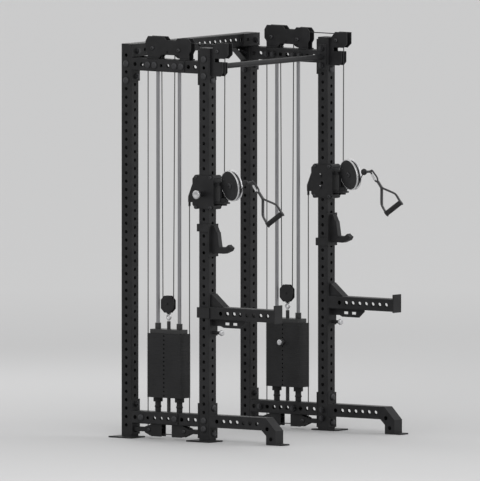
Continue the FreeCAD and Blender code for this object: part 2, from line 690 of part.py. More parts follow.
def trolley(side):
    """A roller carriage round the upright, with the swivel's tabs and the cable's anchor."""
    low, high = size["trolley_low"], size["trolley_high"]
    outline = [(-215, low + 20), (-235, low), (-356, low), (-376, low + 20), (-376, high - 20),
               (-356, high), (-235, high), (-215, high - 20)]
    plates = cheeks(outline, "40", "6", side,
                    [(-size["half_depth"], size["trolley_pin_z"], 10.05)])
    wide = span_x(side, "-46", "46")
    front = box(wide, ("-376", "-370"), ("1440", "1590"))
    rear = box(wide, ("-221", "-215"), ("1440", "1570"))
    barrel = rod("x", *span_x(side, "46", "88"), "-half_depth", "trolley_pin_z", "pin_barrel")
    barrel = cut("barrel", barrel, [rod("x", *span_x(side, "40", "90"), "-half_depth",
                                        "trolley_pin_z", "10.05")])
    anchor = profile_body("anchor", "x", [(-215, 1440), (-150, 1440), (-150, 1475), (-190, 1570),
                                          (-215, 1570)], "%s - 4" % tower_x(side), "8")
    ferrule = rod("z", "1415", "1440", tower_x(side), "-cable_run", "7")
    tab = box(span_x(side, "-30", "30"), ("swivel_y - 20", "-376"), ("1440", "1450"))
    tab = cut("tab", tab, [rod("z", "1430", "1460", tower_x(side), "swivel_y", "12.05")])
    saddle = box(span_x(side, "-30", "30"), ("swivel_y + 14", "-376"), ("1550", "1570"))
    saddle = cut("saddle", saddle, [rod("z", "1540", "1580", tower_x(side), "swivel_y", "25.5")])
    screws = [rod("x", *span_x(side, "-52", "-46"), "-285", z_at, "9") for z_at in ("1541", "1470")]
    axles, rollers = [], []
    for y_at in ("roller_rear", "roller_front"):
        for z_at in ("roller_low", "roller_high"):
            axles.append(rod("x", *span_x(side, "-50", "50"), y_at, z_at, "5"))
            roller = rod("x", *span_x(side, "-39.5", "39.5"), y_at, z_at, "roller_radius")
            rollers.append(cut("roller", roller, [rod("x", *span_x(side, "-45", "45"), y_at, z_at,
                                                      "5.05")]))
    return [fuse("trolley", plates + [front, rear, barrel, anchor, ferrule, tab, saddle]
                 + screws + axles)] + rollers


def trolley_pin(side):
    """The pull pin in the trolley's barrel; its tip stands just clear of the upright."""
    shank = rod("x", *span_x(side, "tube / 2 + 0.4", "102"), "-half_depth", "trolley_pin_z", "10")
    knob = rod("x", *span_x(side, "100", "118"), "-half_depth", "trolley_pin_z", "pin_knob")
    return fuse("%s_trolley_pin" % NAME[side], [shank, knob])


# ---- swivel and handle, built square to the arm and then turned ----

TURNED = -90 - size["swivel_turn"]
AIM = FreeCAD.Rotation(FreeCAD.Vector(0, 0, 1), TURNED)
CANT = FreeCAD.Rotation(FreeCAD.Vector(1, 0, 0), size["swivel_cant"])
REACH = size["swivel_reach"]
# the cable's arc round the swivel pulley, in degrees, and the angle where it leaves
WRAP_TURN = 133
EXIT = math.radians(180 + WRAP_TURN)


def swivel_centre(side):
    """The swivel pulley's centre: one pitch radius ahead of the falling cable."""
    hinge = FreeCAD.Vector(side * size["half_span"], size["swivel_y"], size["swivel_z"])
    return hinge + AIM.multVec(FreeCAD.Vector(REACH, 0, 0))


def set_at(obj, side, turn):
    obj.Placement = FreeCAD.Placement(swivel_centre(side), turn)
    return obj


def swivel_bracket(side):
    """A slotted hub on the cable's line, with a covered fork out to the pulley's axle."""
    foot = -82
    parts = [rod("z", "1458 - swivel_z", "%d" % foot, "-swivel_reach", "0", "25"),
             rod("z", "1430 - swivel_z", "1458 - swivel_z", "-swivel_reach", "0", "12"),
             rod("z", "1430 - swivel_z", "1439.6 - swivel_z", "-swivel_reach", "0", "16"),
             rod("z", "1450.4 - swivel_z", "1458 - swivel_z", "-swivel_reach", "0", "25")]
    shell = rod("z", str(foot), "1570 - swivel_z", "-swivel_reach", "0", "25")
    bore = rod("z", str(foot), "1571 - swivel_z", "-swivel_reach", "0", "18")
    slot = box(("-swivel_reach", "0"), ("-26", "26"), (str(foot), "1571 - swivel_z"))
    hub = fuse("hub", parts + [cut("shell", shell, [bore, slot])])
    arm_outline = [(-REACH - 14, -96), (-REACH + 24, -96), (16, -16), (16, 16), (-16, 16),
                   (-REACH - 14, -70)]
    arm = profile_body("arm", "y", arm_outline, "14", "4")
    cover = rod("y", "-18", "-14", "0", "0", "92")
    axle = rod("y", "-20", "20", "0", "0", "axle_dia / 2 - 0.05")
    fork = fuse("fork", [arm, cover, axle])
    fork.Placement = FreeCAD.Placement(FreeCAD.Vector(), CANT)
    both = cut("bracket", fuse("bracket", [hub, fork]), [below_tab(), pulley_room()])
    arc = doc.addObject("Part::Torus", "wrap")
    standing = FreeCAD.Rotation(FreeCAD.Vector(1, 0, 0), 90)
    spin = FreeCAD.Rotation(FreeCAD.Vector(0, 0, 1), 180)
    arc.Placement = FreeCAD.Placement(FreeCAD.Vector(), CANT * standing * spin)
    bind(arc, "Radius1", "swivel_reach")
    bind(arc, "Radius2", "cable_dia / 2")
    arc.Angle3 = WRAP_TURN
    bracket = group("bracket", [both, arc])
    bracket.Label = NAME[side] + "_swivel_bracket"
    return set_at(bracket, side, AIM)


def below_tab():
    """Room for the trolley's lower tab round the hub's neck."""
    ring = rod("z", "1439.6 - swivel_z", "1450.4 - swivel_z", "-swivel_reach", "0", "60")
    neck = rod("z", "1439 - swivel_z", "1451 - swivel_z", "-swivel_reach", "0", "12")
    return cut("room", ring, [neck])


def pulley_room():
    """Room for the turning pulley between the fork's cheeks."""
    room = rod("y", "-13.9", "13.9", "0", "0", "swivel_pulley + 1.5")
    axle = rod("y", "-15", "15", "0", "0", "axle_dia / 2 - 0.05")
    space = cut("room", room, [axle])
    space.Placement = FreeCAD.Placement(FreeCAD.Vector(), CANT)
    return space


def swivel_pulley(side):
    """The large pulley, its axle square to the canted plane."""
    body = pulley(NAME[side] + "_swivel_pulley", size["swivel_pulley"], REACH, 12.5, 13.5, 16,
                  size["axle_dia"] / 2, groove=6.5, flare=4.5)
    return set_at(body, side, AIM * CANT * FreeCAD.Rotation(FreeCAD.Vector(0, 0, 1), 90))


def flat_between(start, end, square, wide, thick):
    """A flat strap between two points, its width along the given direction."""
    run = end - start
    third = run.cross(square)
    strap = doc.addObject("Part::Box", "strap")
    strap.Length, strap.Width, strap.Height = run.Length, wide, thick
    turn = FreeCAD.Rotation(run, square, third, "XYZ")
    corner = FreeCAD.Vector(0, -wide / 2, -thick / 2)
    strap.Placement = FreeCAD.Placement(start + turn.multVec(corner), turn)
    return strap


def handle(side):
    """Ball stop, cable tail, snap hook, webbing triangle and tubular grip."""
    ball_at = FreeCAD.Vector(149, -5, 24)
    leave = CANT.multVec(FreeCAD.Vector(REACH * math.cos(EXIT), 0, REACH * math.sin(EXIT)))
    hook_end = FreeCAD.Vector(316, 0, -46)
    apex, middle = FreeCAD.Vector(334, 0, -60), FreeCAD.Vector(463, 0, -175)
    half_grip = FreeCAD.Vector(31, 30, 34)
    ball = doc.addObject("Part::Sphere", "ball")
    ball.Radius = 19
    ball.Placement.Base = ball_at
    # each stands half a millimetre off its neighbour: rope, ball, snap hook
    inward, outward = (ball_at - leave).normalize(), (hook_end - ball_at).normalize()
    chain = [bar_between(leave + inward * 0.5, ball_at - inward * 19.5, "cable_dia / 2"), ball,
             bar_between(ball_at + outward * 19.5, hook_end, "9")]
    # webbing: from the hook's far end round a spreader to each end of the grip
    across = (middle - apex).cross(half_grip).normalize()
    elbows = (FreeCAD.Vector(455, 20, -91), FreeCAD.Vector(364, -20, -162))
    pieces = chain + [bar_between(middle - half_grip, middle + half_grip, "16")]
    for elbow, sign in zip(elbows, (1, -1)):
        pieces.append(flat_between(apex, elbow, across, 25, 4))
        pieces.append(flat_between(elbow, middle + half_grip * (sign * 1.16), across, 25, 4))
        pieces.append(bar_between(middle + half_grip * sign, middle + half_grip * (sign * 1.1),
                                  "20"))
    return set_at(group(NAME[side] + "_handle", pieces), side, AIM)


for _, side in BOTH:
    nodes += [group(NAME[side] + "_trolley_body", trolley(side)), trolley_pin(side),
              swivel_bracket(side), swivel_pulley(side), handle(side)]


# ---- J-cups and safety arms ----

FACE = "(-half_depth - tube / 2)"


def tab(side, sign, low, high, pin_at, pin_radius="9.9"):
    """A side tab with its locking pin and a lip behind the upright."""
    def ends(inner, outer):
        return span_x(side, inner, outer) if sign > 0 else span_x(side, "-" + outer, "-" + inner)
    plate = box(ends("(tube / 2 + 0.3)", "(tube / 2 + 8)"), (FACE + " - 8", "-249"), (low, high))
    lip = box(ends("22", "(tube / 2 + 8)"), ("-257.5", "-249"), (low, high))
    pin = rod("x", *ends("22", "(tube / 2 + 8)"), "-half_depth", pin_at, pin_radius)
    return [plate, lip, pin]


def j_cup(side):
    """A bar cup with a swept hook, held by an outer and an inner tab."""
    outline = [(-334.1, 1310), (-360, 1305), (-378, 1268), (-393, 1174), (-447, 1174),
               (-469, 1190), (-489, 1176), (-477, 1157), (-435, 1140), (-334.1, 1140)]
    cup = profile_body("cup", "x", outline, "%s - 19" % tower_x(side), "38")
    plate = box(span_x(side, "-tube / 2 - 8", "tube / 2 + 8"), (FACE + " - 8", FACE),
                ("1118", "1315"))
    return fuse("j_cup", [cup, plate] + tab(side, 1, "1269", "1315", "cup_upper")
                + tab(side, -1, "1118", "1164", "cup_lower"))


def j_cup_liner(side):
    """The soft strip down the cup's back and along its seat."""
    outline = [(-378, 1268), (-383.5, 1267), (-397.5, 1179.5), (-445, 1179.5), (-467, 1195.5),
               (-469, 1190), (-447, 1174), (-393, 1174)]
    return profile_body("liner", "x", outline, "%s - 17" % tower_x(side), "34")


def safety_arm(side):
    """A drilled bar catcher with its end plates, gussets, tab and pull-pin barrel."""
    tube = square_tube("y", side * size["half_span"], size["arm_centre"],
                       "-(arm_reach - flange_thick)",
                       "arm_reach - flange_thick - half_depth - tube / 2 - flange_thick")
    wide = span_x(side, "-tube", "tube")
    tube = cut("tube", tube, row_of_holes("x", *wide, "arm_centre", "-424 - 7 * hole_pitch",
                                          "hole_pitch", 8, "beam_hole / 2", along="y"))
    full = span_x(side, "-tube / 2", "tube / 2")
    toe = box(full, ("-arm_reach", "-arm_reach + flange_thick"), ("734", "844"))
    plate = box(full, (FACE + " - flange_thick", FACE), ("639", "893"))
    plate = cut("plate", plate, [rod("y", "-half_depth - tube", "-half_depth", tower_x(side),
                                     "arm_pin_z", "6.05")])
    slope = profile_body("slope", "x", [(-342.1, 891), (-350, 891), (-442, 816.5), (-434, 816.5),
                                        (-350, 885), (-342.1, 885)], "%s - 27" % tower_x(side),
                         "54")
    webs = cheeks([(-342.1, 889), (-436, 816.5), (-342.1, 816.5)], "19", "6", side)
    fin = profile_body("fin", "x", [(-342.1, 740.3), (-586, 740.3), (-586, 728), (-545, 691),
                                    (-420, 691), (-400, 700), (-342.1, 700)],
                       "%s - 4" % tower_x(side), "8")
    slots = [box(span_x(side, "-10", "10"), ("-%d" % (y_at + 34), "-%d" % y_at), ("708", "724"))
             for y_at in (430, 490)]
    fin = cut("fin", fin, slots)
    barrel = rod("y", "-395", "-342.1", tower_x(side), "arm_pin_z", "10")
    barrel = cut("barrel", barrel, [rod("y", "-396", "-342", tower_x(side), "arm_pin_z", "6.05")])
    return fuse("arm", [tube, toe, plate, slope, fin, barrel] + webs
                + tab(side, 1, "748", "811", "785.7"))


def arm_pin(side):
    """The spring pin below the arm, pulled forward by its round knob."""
    shank = rod("y", "-402", "-322", tower_x(side), "arm_pin_z", "6")
    knob = rod("y", "-411", "-395.5", tower_x(side), "arm_pin_z", "18")
    return fuse(NAME[side] + "_arm_pin", [shank, knob])


nodes.append(group("j_cups", [j_cup(side) for _, side in BOTH]))
nodes.append(group("j_cup_liners", [j_cup_liner(side) for _, side in BOTH]))
nodes.append(group("safety_arms", [safety_arm(side) for _, side in BOTH]))
nodes += [arm_pin(side) for _, side in BOTH]


# ---- frame bolts and nuts ----

def bolt(axis, across, up, face, outward, reach):
    """A domed bolt whose head stands on a face, and its hexagon nut a reach behind it."""
    def along(start, end, radius):
        low, high = sorted((start, end))
        return rod(axis, str(low), str(high), str(across), str(up), str(radius))
    rim = along(face, face + outward * 5, 20)
    dome = doc.addObject("Part::Cone", "dome")
    spin = FreeCAD.Rotation(FreeCAD.Vector(0, 0, 1), AXES[axis] * outward)
    at = {"x": (face + outward * 5, across, up), "y": (across, face + outward * 5, up)}[axis]
    dome.Placement = FreeCAD.Placement(FreeCAD.Vector(*at), spin)
    dome.Radius1, dome.Radius2, dome.Height = 20, 12, 4
    back = face - outward * reach
    shank = along(face, back - outward * 22, 10)
    nut = doc.addObject("Part::Prism", "nut")
    nut.Polygon, nut.Circumradius, nut.Height = 6, 18, 16
    at = {"x": (back, across, up), "y": (across, back, up)}[axis]
    nut.Placement = FreeCAD.Placement(FreeCAD.Vector(*at), FreeCAD.Rotation(
        FreeCAD.Vector(0, 0, 1), AXES[axis] * -outward))
    nut = cut("nut", nut, [along(back + outward, back - outward * 18, 10)])
    return fuse("bolt", [rim, dome, shank]), nut


half, depth, thick = size["tube"] / 2, size["half_depth"], size["flange_thick"]
pitch = size["hole_pitch"]
bolts, nuts = [], []
for _, side in BOTH:
    centre = side * size["half_span"]
    outer, top, low = centre + side * half, size["top_centre"], size["low_centre"]
    pairs = [bolt("x", depth, up, outer, side, size["tube"]) for up in (top, top - 2 * pitch)]
    pairs += [bolt("x", -depth, up, outer, side, size["tube"] + size["end_plate"])
              for up in (top + pitch, top - pitch)]
    pairs += [bolt("x", -depth, up, outer, side, size["tube"]) for up in (low, low - pitch)]
    pairs += [bolt("x", y_at, top, outer + side * size["side_plate"], side,
                   size["tube"] + size["side_plate"])
              for y_at in (-2.5 * pitch, -1.5 * pitch, 1.5 * pitch, 2.5 * pitch)]
    pairs += [bolt("x", y_at, low, outer + side * size["side_plate"], side,
                   size["tube"] + size["side_plate"]) for y_at in (-1.5 * pitch, 3.5 * pitch)]
    stack_up = size["tube"] + thick
    for up in (low - 1.5 * pitch, low + 1.5 * pitch):
        pairs.append(bolt("y", centre, up, -depth - half - thick, -1, stack_up + thick))
        pairs.append(bolt("y", centre, up, depth + half, 1, stack_up))
    lower_bolt, upper_bolt = top - 1.5 * pitch, top + 1.5 * pitch
    pairs.append(bolt("y", centre, lower_bolt, -depth - half, -1, stack_up))
    pairs.append(bolt("y", centre, upper_bolt, -depth - half, -1, stack_up))
    pairs.append(bolt("y", centre, lower_bolt, depth + half, 1, stack_up))
    pairs.append(bolt("y", centre, upper_bolt, depth + half, 1, stack_up + thick))
    bolts += [pair[0] for pair in pairs]
    nuts += [pair[1] for pair in pairs]
nodes.append(group("frame_bolts", bolts))
nodes.append(group("frame_nuts", nuts))


# ---- cables ----

def upright_run(side, y_at, low, high):
    return rod("z", low, high, tower_x(side), y_at, "cable_dia / 2")


def fixed_cable(side):
    """The stretch that keeps its place: over the top pulleys, down the back and under."""
    top_run = "(front_pulley_z + 40)"
    first = fuse("front_run", [
        wrap(side, "front_pulley_y", "front_pulley_z", "40", 90, 90),
        rod("y", "front_pulley_y", "mid_pulley_y", tower_x(side), top_run, "cable_dia / 2"),
        wrap(side, "mid_pulley_y", "mid_pulley_z", "46", 0, 90)])
    second = fuse("rear_run", [
        wrap(side, "rear_pulley_y", "rear_pulley_z", "52", 0, 180),
        upright_run(side, "cable_run", "small_pulley_z", "rear_pulley_z"),
        wrap(side, "small_pulley_y", "small_pulley_z", "24", 270, 90),
        rod("y", "-small_pulley_y", "small_pulley_y", tower_x(side), "small_pulley_z - 24",
            "cable_dia / 2"),
        wrap(side, "-small_pulley_y", "small_pulley_z", "24", 180, 90)])
    return [first, second]


def stack_cable(side):
    """The two runs that hold up the floating pulley."""
    centre = side * size["half_span"]
    runs = []
    for top_y, top_z, low_y in (
            (size["mid_pulley_y"] + 46, size["mid_pulley_z"], 4.05 - 40.4),
            (size["rear_pulley_y"] - 52, size["rear_pulley_z"], 4.05 + 40.4)):
        runs.append(bar_between(FreeCAD.Vector(centre, low_y, size["float_centre"] + 0.4),
                                FreeCAD.Vector(centre, top_y, top_z), "cable_dia / 2"))
    return group(NAME[side] + "_stack_cable", runs)


nodes.append(group("fixed_cables", [run for _, side in BOTH for run in fixed_cable(side)]))
for _, side in BOTH:
    centre = side * size["half_span"]
    front = bar_between(
        FreeCAD.Vector(centre, size["swivel_y"], size["swivel_z"] + 0.8),
        FreeCAD.Vector(centre, size["front_pulley_y"] - 40, size["front_pulley_z"]),
        "cable_dia / 2")
    front.Label = NAME[side] + "_front_cable"
    low = upright_run(side, "-cable_run", "small_pulley_z", "1414.6")
    low.Label = NAME[side] + "_low_cable"
    nodes += [stack_cable(side), front, low]


# ---- check and write ----

doc.recompute()
failed = [obj.Label for obj in doc.Objects if {"Invalid", "Error"} & set(obj.State)]
assert not failed, "failed objects: %s" % failed
for node in nodes:
    shape = node.Shape
    assert not shape.isNull() and shape.isValid(), "bad shape: " + node.Label
assert len({node.Label for node in nodes}) == len(nodes) <= 60
os.makedirs("parts", exist_ok=True)
for node in nodes:
    node.Shape.exportStep("parts/%s.step" % node.Label)
    print(node.Label, len(node.Shape.Solids), round(node.Shape.Volume / 1e6, 3))
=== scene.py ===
import bpy
import json
import math
from mathutils import Matrix, Vector


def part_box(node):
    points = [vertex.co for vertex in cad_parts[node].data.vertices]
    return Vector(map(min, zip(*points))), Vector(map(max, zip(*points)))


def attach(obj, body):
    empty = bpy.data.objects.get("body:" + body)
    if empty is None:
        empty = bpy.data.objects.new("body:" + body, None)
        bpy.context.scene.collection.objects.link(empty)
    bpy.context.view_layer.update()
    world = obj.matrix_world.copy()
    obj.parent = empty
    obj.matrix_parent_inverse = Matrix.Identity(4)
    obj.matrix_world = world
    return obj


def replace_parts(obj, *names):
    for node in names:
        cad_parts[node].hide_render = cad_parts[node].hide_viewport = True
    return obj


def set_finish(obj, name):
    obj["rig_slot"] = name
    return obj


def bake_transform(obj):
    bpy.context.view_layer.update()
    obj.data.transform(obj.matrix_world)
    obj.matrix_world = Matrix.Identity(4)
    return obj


# The looks of a cable crossover machine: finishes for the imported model, and detailed cables,
# handles, knobs and bolt heads in place of the plain ones. Metres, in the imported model's frame.

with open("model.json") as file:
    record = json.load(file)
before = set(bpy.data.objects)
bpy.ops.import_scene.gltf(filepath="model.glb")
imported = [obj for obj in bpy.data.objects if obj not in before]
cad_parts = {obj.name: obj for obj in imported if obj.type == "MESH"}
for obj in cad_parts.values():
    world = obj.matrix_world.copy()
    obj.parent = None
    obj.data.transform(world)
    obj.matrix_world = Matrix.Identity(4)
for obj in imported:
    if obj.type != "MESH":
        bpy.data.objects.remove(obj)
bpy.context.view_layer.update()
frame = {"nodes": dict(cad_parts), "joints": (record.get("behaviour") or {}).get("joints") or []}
JOINTS = {joint["name"]: joint for joint in frame["joints"]}
SIDES = ("left", "right")
OUTWARD = (("left", -1), ("right", 1))  # each side with the sign of X away from the middle
UP = Vector((0, 0, 1))
CABLE_RADIUS = 0.003
ROPE_STEPS = 48  # rings along a cable's straight run


# ---------------------------------------------------------------- materials

class Nodes:
    """A short way to write a procedural material."""

    def __init__(self, name, color, roughness, metallic=0.0):
        self.material = bpy.data.materials.new(name)
        self.material.use_nodes = True
        self.tree = self.material.node_tree
        self.shader = self.tree.nodes["Principled BSDF"]
        self.shader.inputs["Base Color"].default_value = (*color, 1)
        self.shader.inputs["Roughness"].default_value = roughness
        self.shader.inputs["Metallic"].default_value = metallic
        self.place = self.node("ShaderNodeTexCoord").outputs["Object"]

    def node(self, kind, **settings):
        made = self.tree.nodes.new(kind)
        for key, value in settings.items():
            if key in made.inputs:
                made.inputs[key].default_value = value
            else:
                setattr(made, key, value)
        return made

    def link(self, out, into):
        self.tree.links.new(out, into)

    def noise(self, scale, detail=4.0):
        made = self.node("ShaderNodeTexNoise", Scale=scale, Detail=detail)
        self.link(self.place, made.inputs["Vector"])
        return made.outputs["Fac"]

    def ramp(self, fac, low, high, low_color, high_color):
        made = self.node("ShaderNodeValToRGB")
        ends = made.color_ramp.elements
        ends[0].position, ends[1].position = low, high
        ends[0].color, ends[1].color = (*low_color, 1), (*high_color, 1)
        self.link(fac, made.inputs["Fac"])
        return made.outputs["Color"]

    def mix(self, fac, first, second):
        made = self.node("ShaderNodeMix", data_type="RGBA")
        self.link(fac, made.inputs["Factor"])
        color_a, color_b, color_out = 6, 7, 2  # a Mix node's colour sockets, by place
        for index, value in ((color_a, first), (color_b, second)):
            if isinstance(value, bpy.types.NodeSocket):
                self.link(value, made.inputs[index])
            else:
                made.inputs[index].default_value = (*value, 1)
        return made.outputs[color_out]

    def math(self, operation, first, second=0.0):
        made = self.node("ShaderNodeMath", operation=operation)
        for index, value in enumerate((first, second)):
            if isinstance(value, bpy.types.NodeSocket):
                self.link(value, made.inputs[index])
            else:
                made.inputs[index].default_value = value
        return made.outputs[0]

    def color_from(self, out):
        self.link(out, self.shader.inputs["Base Color"])

    def roughness_from(self, out, low, high):
        made = self.node("ShaderNodeMapRange")
        made.inputs["To Min"].default_value, made.inputs["To Max"].default_value = low, high
        self.link(out, made.inputs["Value"])
        self.link(made.outputs["Result"], self.shader.inputs["Roughness"])

    def bump(self, height, strength, distance, edge=0.0):
        """Surface relief, over edges softened by a small radius."""
        made = self.node("ShaderNodeBump", Strength=strength, Distance=distance)
        self.link(height, made.inputs["Height"])
        if edge:
            soft = self.node("ShaderNodeBevel", samples=4, Radius=edge)
            self.link(soft.outputs["Normal"], made.inputs["Normal"])
        self.link(made.outputs["Normal"], self.shader.inputs["Normal"])

    def edge_mask(self, radius, gain):
        """1 along convex and concave edges, 0 on flat faces."""
        soft = self.node("ShaderNodeBevel", samples=4, Radius=radius)
        flat = self.node("ShaderNodeNewGeometry").outputs["Normal"]
        dot = self.node("ShaderNodeVectorMath", operation="DOT_PRODUCT")
        self.link(soft.outputs["Normal"], dot.inputs[0])
        self.link(flat, dot.inputs[1])
        return self.math("MULTIPLY", self.math("SUBTRACT", 1.0, dot.outputs["Value"]), gain)


def powder_coat(name, color=(0.0115, 0.0115, 0.0122), roughness=0.5):
    """Matte textured powder coat: fine orange peel, faint mottling, thinner on the edges."""
    n = Nodes(name, color, roughness)
    lighter = tuple(min(1, c * 1.35 + 0.003) for c in color)
    worn = tuple(min(1, c * 2.4 + 0.008) for c in color)
    mottled = n.ramp(n.noise(14, 6), 0.35, 0.7, color, lighter)
    wear = n.math("MULTIPLY", n.edge_mask(0.0014, 2.2), n.noise(60, 3))
    n.color_from(n.mix(wear, mottled, worn))
    n.roughness_from(n.noise(220, 3), roughness - 0.08, roughness + 0.1)
    n.bump(n.noise(1300, 2), 0.25, 0.0004, edge=0.0012)
    n.shader.inputs["Specular IOR Level"].default_value = 0.22
    return n.material


def satin_metal(name, color, roughness, brushed=(1, 1, 60), metallic=1.0):
    """Brushed or drawn steel with fine streaks and dull patches."""
    n = Nodes(name, color, roughness, metallic)
    stretch = n.node("ShaderNodeMapping")
    stretch.inputs["Scale"].default_value = brushed
    n.link(n.place, stretch.inputs["Vector"])
    streaks = n.node("ShaderNodeTexNoise", Scale=30.0, Detail=6.0)
    n.link(stretch.outputs["Vector"], streaks.inputs["Vector"])
    dark = tuple(c * 0.78 for c in color)
    n.color_from(n.ramp(streaks.outputs["Fac"], 0.3, 0.7, dark, color))
    n.roughness_from(n.noise(35), roughness - 0.06, roughness + 0.12)
    n.bump(streaks.outputs["Fac"], 0.12, 0.0003, edge=0.0008)
    return n.material


def moulded(name, color, roughness, grain=700.0, relief=0.2, gloss=0.28):
    """Moulded rubber or plastic with a fine grain."""
    n = Nodes(name, color, roughness)
    lighter = tuple(c * 1.6 + 0.001 for c in color)
    n.color_from(n.ramp(n.noise(25), 0.35, 0.7, color, lighter))
    n.roughness_from(n.noise(90), roughness - 0.08, roughness + 0.08)
    n.bump(n.noise(grain, 3), relief, 0.0004, edge=0.0012)
    n.shader.inputs["Specular IOR Level"].default_value = gloss
    return n.material


def stack_plate():
    """Cast weight plate: matte coat over a slightly uneven casting, chipped along its edges."""
    n = Nodes("stack_plate", (0.02, 0.02, 0.021), 0.6)
    cast = n.ramp(n.noise(9, 8), 0.3, 0.75, (0.010, 0.010, 0.0105), (0.017, 0.017, 0.018))
    chip = n.math("MULTIPLY", n.edge_mask(0.0012, 3.0), n.noise(120, 4))
    n.color_from(n.mix(chip, cast, (0.07, 0.07, 0.073)))
    n.shader.inputs["Specular IOR Level"].default_value = 0.25
    n.roughness_from(n.noise(60), 0.5, 0.72)
    n.bump(n.noise(420, 5), 0.3, 0.0006, edge=0.0016)
    return n.material


def wire_rope():
    """Nylon-jacketed wire rope: the strands show through as a shallow twist."""
    n = Nodes("wire_rope", (0.012, 0.012, 0.013), 0.38)
    wave = n.node("ShaderNodeTexWave", Scale=170.0, Distortion=0.0, bands_direction="DIAGONAL")
    n.link(n.place, wave.inputs["Vector"])
    n.color_from(n.ramp(wave.outputs["Fac"], 0.2, 0.8, (0.009, 0.009, 0.01), (0.02, 0.02, 0.021)))
    n.roughness_from(n.noise(200), 0.3, 0.48)
    n.bump(wave.outputs["Fac"], 0.35, 0.0004)
    return n.material


def webbing():
    """Woven nylon: a tight weave with a soft sheen."""
    n = Nodes("webbing", (0.012, 0.012, 0.013), 0.82)
    warp = n.node("ShaderNodeTexWave", Scale=420.0, Distortion=0.6, bands_direction="Z")
    weft = n.node("ShaderNodeTexWave", Scale=420.0, Distortion=0.6, bands_direction="Y")
    for wave in (warp, weft):
        n.link(n.place, wave.inputs["Vector"])
    weave = n.math("MULTIPLY", warp.outputs["Fac"], weft.outputs["Fac"])
    n.color_from(n.ramp(weave, 0.1, 0.7, (0.008, 0.008, 0.009), (0.035, 0.035, 0.038)))
    n.roughness_from(n.noise(150), 0.74, 0.92)
    n.bump(weave, 0.5, 0.0005)
    n.shader.inputs["Sheen Weight"].default_value = 0.25
    return n.material


def coated_with_bare_top(name, bare_from):
    """Powder coat below a height, and bare satin steel above it."""
    n = Nodes(name, (0.012, 0.012, 0.0125), 0.45)
    axes = n.node("ShaderNodeSeparateXYZ")
    n.link(n.place, axes.inputs[0])
    bare = n.math("GREATER_THAN", axes.outputs["Z"], bare_from)
    black = n.ramp(n.noise(14, 6), 0.35, 0.7, (0.010, 0.010, 0.0105), (0.016, 0.016, 0.0165))
    silver = n.ramp(n.noise(160, 6), 0.3, 0.7, (0.42, 0.42, 0.43), (0.6, 0.6, 0.61))
    n.color_from(n.mix(bare, black, silver))
    n.link(bare, n.shader.inputs["Metallic"])
    n.roughness_from(bare, 0.5, 0.32)
    n.bump(n.noise(900, 2), 0.2, 0.0004, edge=0.001)
    return n.material


def rimmed_pulley(name, centre, axis, rim_from):
    """Black moulded pulley with a bare metal rim beyond a radius about its axle."""
    n = Nodes(name, (0.02, 0.02, 0.021), 0.45)
    offset = n.node("ShaderNodeVectorMath", operation="SUBTRACT")
    n.link(n.place, offset.inputs[0])
    offset.inputs[1].default_value = centre
    cross = n.node("ShaderNodeVectorMath", operation="CROSS_PRODUCT")
    n.link(offset.outputs["Vector"], cross.inputs[0])
    cross.inputs[1].default_value = axis
    length = n.node("ShaderNodeVectorMath", operation="LENGTH")
    n.link(cross.outputs["Vector"], length.inputs[0])
    rim = n.math("GREATER_THAN", length.outputs["Value"], rim_from)
    black = n.ramp(n.noise(30), 0.35, 0.7, (0.010, 0.010, 0.0105), (0.018, 0.018, 0.0185))
    silver = n.ramp(n.noise(160, 6), 0.3, 0.7, (0.78, 0.78, 0.79), (0.93, 0.93, 0.94))
    n.color_from(n.mix(rim, black, silver))
    n.link(rim, n.shader.inputs["Metallic"])
    n.roughness_from(rim, 0.5, 0.3)
    n.bump(n.noise(700, 3), 0.15, 0.0003, edge=0.001)
    return n.material


POWDER = powder_coat("powder_coat")
COVER = powder_coat("cover_plate", (0.0095, 0.0095, 0.0102), 0.4)
BOLT = satin_metal("black_bolt", (0.06, 0.06, 0.063), 0.42, metallic=0.85)
SILVER = satin_metal("satin_steel", (0.62, 0.62, 0.63), 0.32)
ROD = satin_metal("guide_rod_steel", (0.3, 0.3, 0.31), 0.3, brushed=(40, 40, 0.6))
BAR = powder_coat("bar_coat", (0.016, 0.016, 0.017), 0.4)
RUBBER = moulded("rubber", (0.013, 0.013, 0.0135), 0.75)
PLASTIC = moulded("liner_plastic", (0.017, 0.017, 0.018), 0.5, grain=500.0)
WHEEL = moulded("pulley_nylon", (0.0105, 0.0105, 0.011), 0.5)
CHROME = satin_metal("bright_rim", (0.9, 0.9, 0.91), 0.22, metallic=1.0)
# painted shade: a near-black, nearly unreflecting finish for the discs painted over the selector
# holes
HOLE_SHADE = moulded("painted_hole_shade", (0.0012, 0.0012, 0.0013), 0.9, gloss=0.02)
PLATE = stack_plate()
ROPE = wire_rope()
WEBBING = webbing()

RIM_FROM = 0.0862       # radius where the swivel pulley is bare metal
EYE_BOLT_FROM = 0.7125  # height where the selector rod ends in its eye bolt

FINISHES = (
    (BOLT, ("frame_bolts", "frame_nuts")),
    (ROD, ("guide_rods",)),
    (RUBBER, ("stack_bumpers",)),
    (PLASTIC, ("j_cup_liners",)),
    (PLATE, ("resting_plates", "lifted_plates")),
    (ROPE, ("cable",)),
    (BAR, ("pull_up_bar",)),
    (COVER, ("housing", "bracket", "trolley_body")),
    (WHEEL, ("pulley",)),
)


def finish_for(node):
    for material, words in FINISHES:
        if any(word in node for word in words):
            return material
    return POWDER


def paint(obj, material):
    obj.data.materials.clear()
    obj.data.materials.append(material)


def paint_frame():
    for name, obj in frame["nodes"].items():
        paint(obj, finish_for(name))
    for side in SIDES:
        spin = JOINTS[side + "_swivel_spin"]
        paint(frame["nodes"][side + "_swivel_pulley"],
              rimmed_pulley(side + "_rim", spin["pos_m"], spin["axis"], RIM_FROM))
        paint(frame["nodes"][side + "_stack_carriage"],
              coated_with_bare_top(side + "_eye_bolt", EYE_BOLT_FROM))


